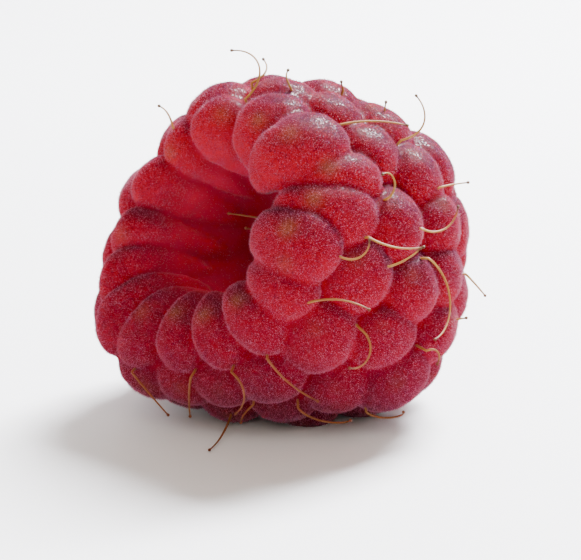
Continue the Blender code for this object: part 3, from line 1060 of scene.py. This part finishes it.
def hair_coat(seed, density, length, width):
    """Nodes that scatter short tapered hairs over a skin, thinner where its fuzz is thin."""
    tree = bpy.data.node_groups.new("hair_coat", "GeometryNodeTree")
    tree.interface.new_socket("Geometry", in_out="INPUT", socket_type="NodeSocketGeometry")
    tree.interface.new_socket("Geometry", in_out="OUTPUT", socket_type="NodeSocketGeometry")
    wire = Wire(tree)
    body = wire.make("NodeGroupInput")
    fuzz = wire.make("GeometryNodeInputNamedAttribute", {"data_type": "FLOAT"}, {"Name": "fuzz"})
    points = wire.make(
        "GeometryNodeDistributePointsOnFaces",
        {"distribute_method": "RANDOM"},
        {"Mesh": body, "Density": fuzz * density, "Seed": seed},
    )
    tilt = wire.make(
        "FunctionNodeRandomValue",
        {"data_type": "FLOAT_VECTOR"},
        {
            "Min": (-HAIR_LEAN, -HAIR_LEAN, 0.0),
            "Max": (HAIR_LEAN, HAIR_LEAN, HAIR_TURN),
            "Seed": seed + LEAN_DRAW,
        },
    )
    leaning = wire.make(
        "FunctionNodeRotateRotation",
        {"rotation_space": "LOCAL"},
        {"Rotation": points.beside("Rotation"), "Rotate By": tilt},
    )
    size = wire.make(
        "FunctionNodeRandomValue",
        {"data_type": "FLOAT"},
        {2: HAIR_SIZES[0], 3: HAIR_SIZES[1], "Seed": seed + SIZE_DRAW},
        output=1,
    )
    hair = wire.make(
        "GeometryNodeMeshCone",
        {"fill_type": "NGON"},
        {"Vertices": 3, "Radius Top": 0.0, "Radius Bottom": width / 2, "Depth": length},
    )
    scattered = wire.make(
        "GeometryNodeInstanceOnPoints",
        inputs={"Points": points, "Instance": hair, "Rotation": leaning, "Scale": size},
    )
    whole = wire.make("GeometryNodeRealizeInstances", inputs={"Geometry": scattered})
    wire.make("NodeGroupOutput", inputs={"Geometry": whole})
    return tree


def fuzz_area(data):
    """The skin's area in square metres, each part counted by how thick its fuzz is."""
    fuzz = np.empty(len(data.vertices), np.float32)
    data.attributes["fuzz"].data.foreach_get("value", fuzz)
    total = 0.0
    for face in data.polygons:
        total += face.area * float(fuzz[list(face.vertices)].mean())
    return total


class RASPBERRY_OT_fuzz(bpy.types.Operator):
    """Grow coats of fine pale hair all over the skin"""

    bl_idname = "raspberry.fuzz"
    bl_label = "Fuzz"

    def execute(self, context):
        fuzz = context.scene.raspberry.fuzz
        skin = bpy.data.objects["berry_skin"]
        density = fuzz.hairs / fuzz_area(skin.data)
        material = hair_material(fuzz.colour)
        for coat in range(fuzz.coats):
            obj = link(f"fuzz_{coat + 1}", skin.data.copy())
            scatter = obj.modifiers.new("hairs", "NODES")
            scatter.node_group = hair_coat(coat, density, fuzz.length, fuzz.width)
            apply_modifiers(obj)
            if not obj.data.polygons:
                raise RuntimeError("no hair grew")
            for name in SKIN_ATTRIBUTES:
                spare = obj.data.attributes.get(name)
                if spare:
                    obj.data.attributes.remove(spare)
            press_flat(obj.data)
            obj.data.materials.clear()
            obj.data.materials.append(material)
            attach(obj, "root")
        return {"FINISHED"}


def all_styles():
    """The styles set one by one, and on the sides they leave bare those that the seeded rule draws."""
    draw = random.Random(STYLE_SEED)
    side = Vector(STYLED_SIDE).normalized()
    crowns = [(arc, clock) for arc, clock, _ in DRUPELETS]
    bare = [crown for crown in crowns if crown_axes(*crown)[2].dot(side) < FACING_AWAY]
    found = [*STYLES, *SHORT_STYLES]
    for arc, clock in bare[::OTHERS_WITH_STYLE]:
        heading, length = draw.uniform(0, 360), draw.uniform(*OTHER_LENGTHS)
        turn = draw.choice((-1, 1)) * draw.uniform(*OTHER_TURNS)
        steep_tip = draw.uniform(*OTHER_STEEP_TIPS)
        found.append((arc, clock, heading, length, turn, OTHER_STEEP_ROOT, steep_tip))
    return found


def style_path(arc, clock, heading, length, turn, steep_root, steep_tip):
    """The points that a style follows, from its root in a drupelet to its tip."""
    around, down, out = crown_axes(arc, clock)
    here = crown_point(arc, clock) - out * STYLE_ROOT
    path = [here, here + out * (STYLE_ROOT_IN_FLESH * STYLE_ROOT)]
    for k in range(STYLE_SECTIONS):
        share = (k + 0.5) / STYLE_SECTIONS
        way = math.radians(heading + turn * share)
        steep = math.radians(steep_root + (steep_tip - steep_root) * share)
        level = down * math.cos(way) + around * math.sin(way)
        step = level * math.cos(steep) + out * math.sin(steep)
        path.append(path[-1] + step * (length / STYLE_SECTIONS))
    return path


def facing(point, ahead, side):
    """The matrix of a section at that point, square to the way ahead, and the section's own side."""
    side = (side - ahead * side.dot(ahead)).normalized()
    turned = Matrix((side, ahead.cross(side), ahead)).transposed().to_4x4()
    return Matrix.Translation(point) @ turned, side


def draw_tube(mesh, layer, path, widths, shares):
    """Extrudes a closed tube along the path, with its share of the length stored on it."""
    # The first section's side is any way that the path doesn't start along
    upright = abs((path[1] - path[0]).normalized().z) > 0.9
    side = Vector((1, 0, 0)) if upright else Vector((0, 0, 1))
    last = None
    edges, ring = [], []
    for k, point in enumerate(path):
        ahead = (path[min(k + 1, len(path) - 1)] - path[max(k - 1, 0)]).normalized()
        place, side = facing(point, ahead, side)
        place = place @ Matrix.Scale(widths[k] / 2, 4)
        if last is None:
            made = bmesh.ops.create_circle(mesh, segments=STYLE_SIDES, radius=1.0, matrix=place)
            ring = made["verts"]
            # Each edge once and always in the same order, which a set doesn't keep
            edges = list(dict.fromkeys(edge for vertex in ring for edge in vertex.link_edges))
            first = edges
        else:
            made = bmesh.ops.extrude_edge_only(mesh, edges=edges)["geom"]
            ring = [item for item in made if isinstance(item, bmesh.types.BMVert)]
            edges = [item for item in made if isinstance(item, bmesh.types.BMEdge)]
            edges = [edge for edge in edges if all(vertex in ring for vertex in edge.verts)]
            bmesh.ops.transform(mesh, matrix=place @ last.inverted(), verts=ring)
        for vertex in ring:
            vertex[layer] = shares[k]
        last = place
    bmesh.ops.edgeloop_fill(mesh, edges=first)
    bmesh.ops.edgeloop_fill(mesh, edges=edges)


def sort_faces(mesh):
    """Sorts the faces by their vertices, because extruding makes them in another order each run."""
    mesh.verts.index_update()
    by_vertices = sorted(mesh.faces, key=lambda face: sorted(vertex.index for vertex in face.verts))
    for k, face in enumerate(by_vertices):
        face.index = k
    mesh.faces.sort()


def style_material(styles):
    """Dry golden thread that darkens to a brown tip, with painted shade on those in the hole and low down.
    """
    constants = {"Roughness": 0.45, "Subsurface Weight": 0.3, "Subsurface Scale": 0.0001}
    material, wire, shader = new_material("dry_style", constants)
    place = wire.make("ShaderNodeTexCoord", output="Object")
    stops = [
        (0.0, styles.root),
        (0.25, styles.middle),
        (0.86, styles.middle),
        (0.95, styles.tip),
        (1.0, styles.tip),
    ]
    colour = wire.make("ShaderNodeValToRGB", {"stops": stops}, {"Fac": stored(wire, "towards_tip")})
    streak = grain(wire, place, STREAKS)
    pale = (streak - STREAKS_FROM) * STREAKS_SHOW
    colour = wire.mixed(pale, colour, (*styles.light, 1), blend="OVERLAY")
    # Painted shade on the styles in the hole and low on the near side
    colour = wire.mixed(stored(wire, "browned") * STYLE_SHADE_SHOWS, colour, (*styles.brown, 1))
    colour.feed(shader, "Base Color")
    bump = wire.make("ShaderNodeBump", inputs={"Strength": 0.3, "Distance": 0.00002, "Height": streak})
    bump.feed(shader, "Normal")
    return material


def browned(arc, clock):
    """How much painted shade a style takes: full in the hole, and more the lower it grows on the near
    side.
    """
    if arc < 0:
        return 1.0
    if clock >= STYLE_SHADE_UP_TO:
        return 0.0
    return DEEPEST_STYLE_SHADE * min(max((clock - STYLE_SHADE_FROM) / STYLE_SHADE_OVER, 0), 1)


def style_tube(path, width):
    """The path on to the end of the knob, with its width and its share of the length at each point."""
    end = path[-1]
    ahead = (path[-1] - path[-2]).normalized()
    count = len(path)
    widths = [width * (STYLE_WIDTH_AT_ROOT - STYLE_TAPER * k / count) for k in range(count)]
    shares = [max(0.0, (k - 1) / (count - 1)) for k in range(count)]
    path = path + [end + ahead * step for step, _ in KNOB]
    widths += [width * size for _, size in KNOB]
    shares += [1.0] * len(KNOB)
    return path, widths, shares


class RASPBERRY_OT_styles(bpy.types.Operator):
    """Draw the dry styles out of the drupelets, each with its dark knob at the tip"""

    bl_idname = "raspberry.styles"
    bl_label = "Styles"

    def execute(self, context):
        styles = context.scene.raspberry.styles
        mesh = bmesh.new()
        towards_tip = mesh.verts.layers.float.new("towards_tip")
        # The painted shade of each style, kept on its vertices
        brown = mesh.verts.layers.float.new("browned")
        for one in all_styles():
            before = len(mesh.verts)
            draw_tube(mesh, towards_tip, *style_tube(style_path(*one), styles.width / MM))
            mesh.verts.ensure_lookup_table()
            for vertex in mesh.verts[before:]:
                vertex[brown] = browned(*one[:2])
        sort_faces(mesh)
        bmesh.ops.recalc_face_normals(mesh, faces=mesh.faces)
        bmesh.ops.transform(mesh, matrix=laid_down(), verts=mesh.verts)
        for vertex in mesh.verts:
            vertex.co.z = max(vertex.co.z, STYLE_CLEAR_OF_TABLE)
        obj = link("styles", finished_mesh(mesh, "styles"))
        obj.data.shade_smooth()
        obj.data.materials.append(style_material(styles))
        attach(obj, "root")
        return {"FINISHED"}


def table_mesh():
    """A flat table that bends up into a back wall, turned to face the camera."""
    mesh = bmesh.new()
    profile = [(TABLE_FRONT, 0.0), (TABLE_BENDS_AT, 0.0)]
    for k in range(1, TABLE_BEND_STEPS + 1):
        angle = math.pi / 2 * k / TABLE_BEND_STEPS
        forward, up = math.sin(angle), 1 - math.cos(angle)
        profile.append((TABLE_BENDS_AT + TABLE_BEND * forward, TABLE_BEND * up))
    profile.append((TABLE_BENDS_AT + TABLE_BEND, TABLE_TOP))
    line = [mesh.verts.new((y, -TABLE_HALF_WIDTH, z)) for y, z in profile]
    edges = [mesh.edges.new(pair) for pair in zip(line, line[1:])]
    made = bmesh.ops.extrude_edge_only(mesh, edges=edges)["geom"]
    moved = [item for item in made if isinstance(item, bmesh.types.BMVert)]
    bmesh.ops.translate(mesh, vec=(0, 2 * TABLE_HALF_WIDTH, 0), verts=moved)
    turned = Matrix.Rotation(math.radians(TABLE_TURN_DEG), 4, "Z")
    lowered = Matrix.Translation((0, 0, -TABLE_GAP))
    bmesh.ops.transform(mesh, matrix=lowered @ turned, verts=mesh.verts)
    bmesh.ops.recalc_face_normals(mesh, faces=mesh.faces)
    if mesh.faces[:][0].normal.z < 0:
        bmesh.ops.reverse_faces(mesh, faces=mesh.faces)
    data = bpy.data.meshes.new("table")
    mesh.to_mesh(data)
    mesh.free()
    data.shade_smooth()
    return data


def area_light(name, towards, power, placing):
    """A soft light that shines on the berry from that way, at its distance, size and colour."""
    distance, size, colour = placing
    light = bpy.data.lights.new(name, "AREA")
    light.shape = "RECTANGLE"
    light.size, light.size_y = size
    light.energy = power
    light.color = colour
    obj = link(name, light)
    way = Vector(towards).normalized()
    obj.location = Vector((0, 0, LIT_HEIGHT)) + way * distance
    obj.rotation_euler = way.to_track_quat("Z", "Y").to_euler()
    return obj


def light_air(scene, strength):
    """Light from all round that makes no highlights."""
    world = bpy.data.worlds.new("air")
    world.use_nodes = True
    background = world.node_tree.nodes["Background"]
    background.inputs["Color"].default_value = (*AIR_COLOUR, 1)
    background.inputs["Strength"].default_value = strength
    scene.world = world
    world.cycles_visibility.glossy = False


def place_camera(scene):
    """The camera, at the angle from which the berry shows its open end."""
    azimuth, height = math.radians(VIEW_AZIMUTH), math.radians(VIEW_HEIGHT)
    back = Vector(
        (math.sin(azimuth) * math.cos(height), -math.cos(azimuth) * math.cos(height), math.sin(height))
    )
    camera = bpy.data.cameras.new("camera")
    camera.sensor_width = SENSOR_WIDTH
    camera.lens = LENS_PIXELS * SENSOR_WIDTH / PICTURE_PIXELS
    camera.clip_start = NEAREST_SEEN
    obj = link("camera", camera)
    open_end = laid_down() @ Vector((0, 0, 0))
    obj.location = open_end + Vector(LOOKED_AT) * MM + back * VIEW_DISTANCE
    obj.rotation_euler = back.to_track_quat("Z", "Y").to_euler()
    scene.camera = obj


class RASPBERRY_OT_stage(bpy.types.Operator):
    """Set up the pale table, the window light and the camera"""

    bl_idname = "raspberry.stage"
    bl_label = "Stage"

    def execute(self, context):
        stage = context.scene.raspberry.stage
        table = link("table", table_mesh())
        matt = {"Base Color": (*stage.floor, 1), "Roughness": 0.6}
        table.data.materials.append(new_material("pale_table", matt)[0])
        table.visible_glossy = False
        light_air(context.scene, stage.air)
        area_light("window", SUNNY_SIDE, stage.key, WINDOW)
        fill = area_light("fill", FILL_SIDE, stage.fill, FILL)
        fill.visible_glossy = False
        place_camera(context.scene)
        return {"FINISHED"}


class RASPBERRY_PT_panel(bpy.types.Panel):
    """The raspberry's parts, in the order they are made"""

    bl_idname = "RASPBERRY_PT_panel"
    bl_label = "Raspberry"
    bl_space_type = "VIEW_3D"
    bl_region_type = "UI"
    bl_category = "Raspberry"

    def draw(self, context):
        settings = context.scene.raspberry
        for operator, group in (
            (RASPBERRY_OT_skin, settings.skin),
            (RASPBERRY_OT_fuzz, settings.fuzz),
            (RASPBERRY_OT_styles, settings.styles),
            (RASPBERRY_OT_stage, settings.stage),
        ):
            box = self.layout.box()
            for name in group.bl_rna.properties.keys():
                if name not in ("rna_type", "name"):
                    box.prop(group, name)
            box.operator(operator.bl_idname)


CLASSES = (
    RaspberrySkin,
    RaspberryFuzz,
    RaspberryStyles,
    RaspberryStage,
    RaspberrySettings,
    RASPBERRY_OT_skin,
    RASPBERRY_OT_fuzz,
    RASPBERRY_OT_styles,
    RASPBERRY_OT_stage,
    RASPBERRY_PT_panel,
)


def register():
    for one in CLASSES:
        bpy.utils.register_class(one)
    bpy.types.Scene.raspberry = PointerProperty(type=RaspberrySettings)


def unregister():
    del bpy.types.Scene.raspberry
    for one in reversed(CLASSES):
        bpy.utils.unregister_class(one)


def main():
    register()
    bpy.ops.raspberry.skin()
    bpy.ops.raspberry.fuzz()
    bpy.ops.raspberry.styles()
    bpy.ops.raspberry.stage()


if __name__ == "__main__":
    main()
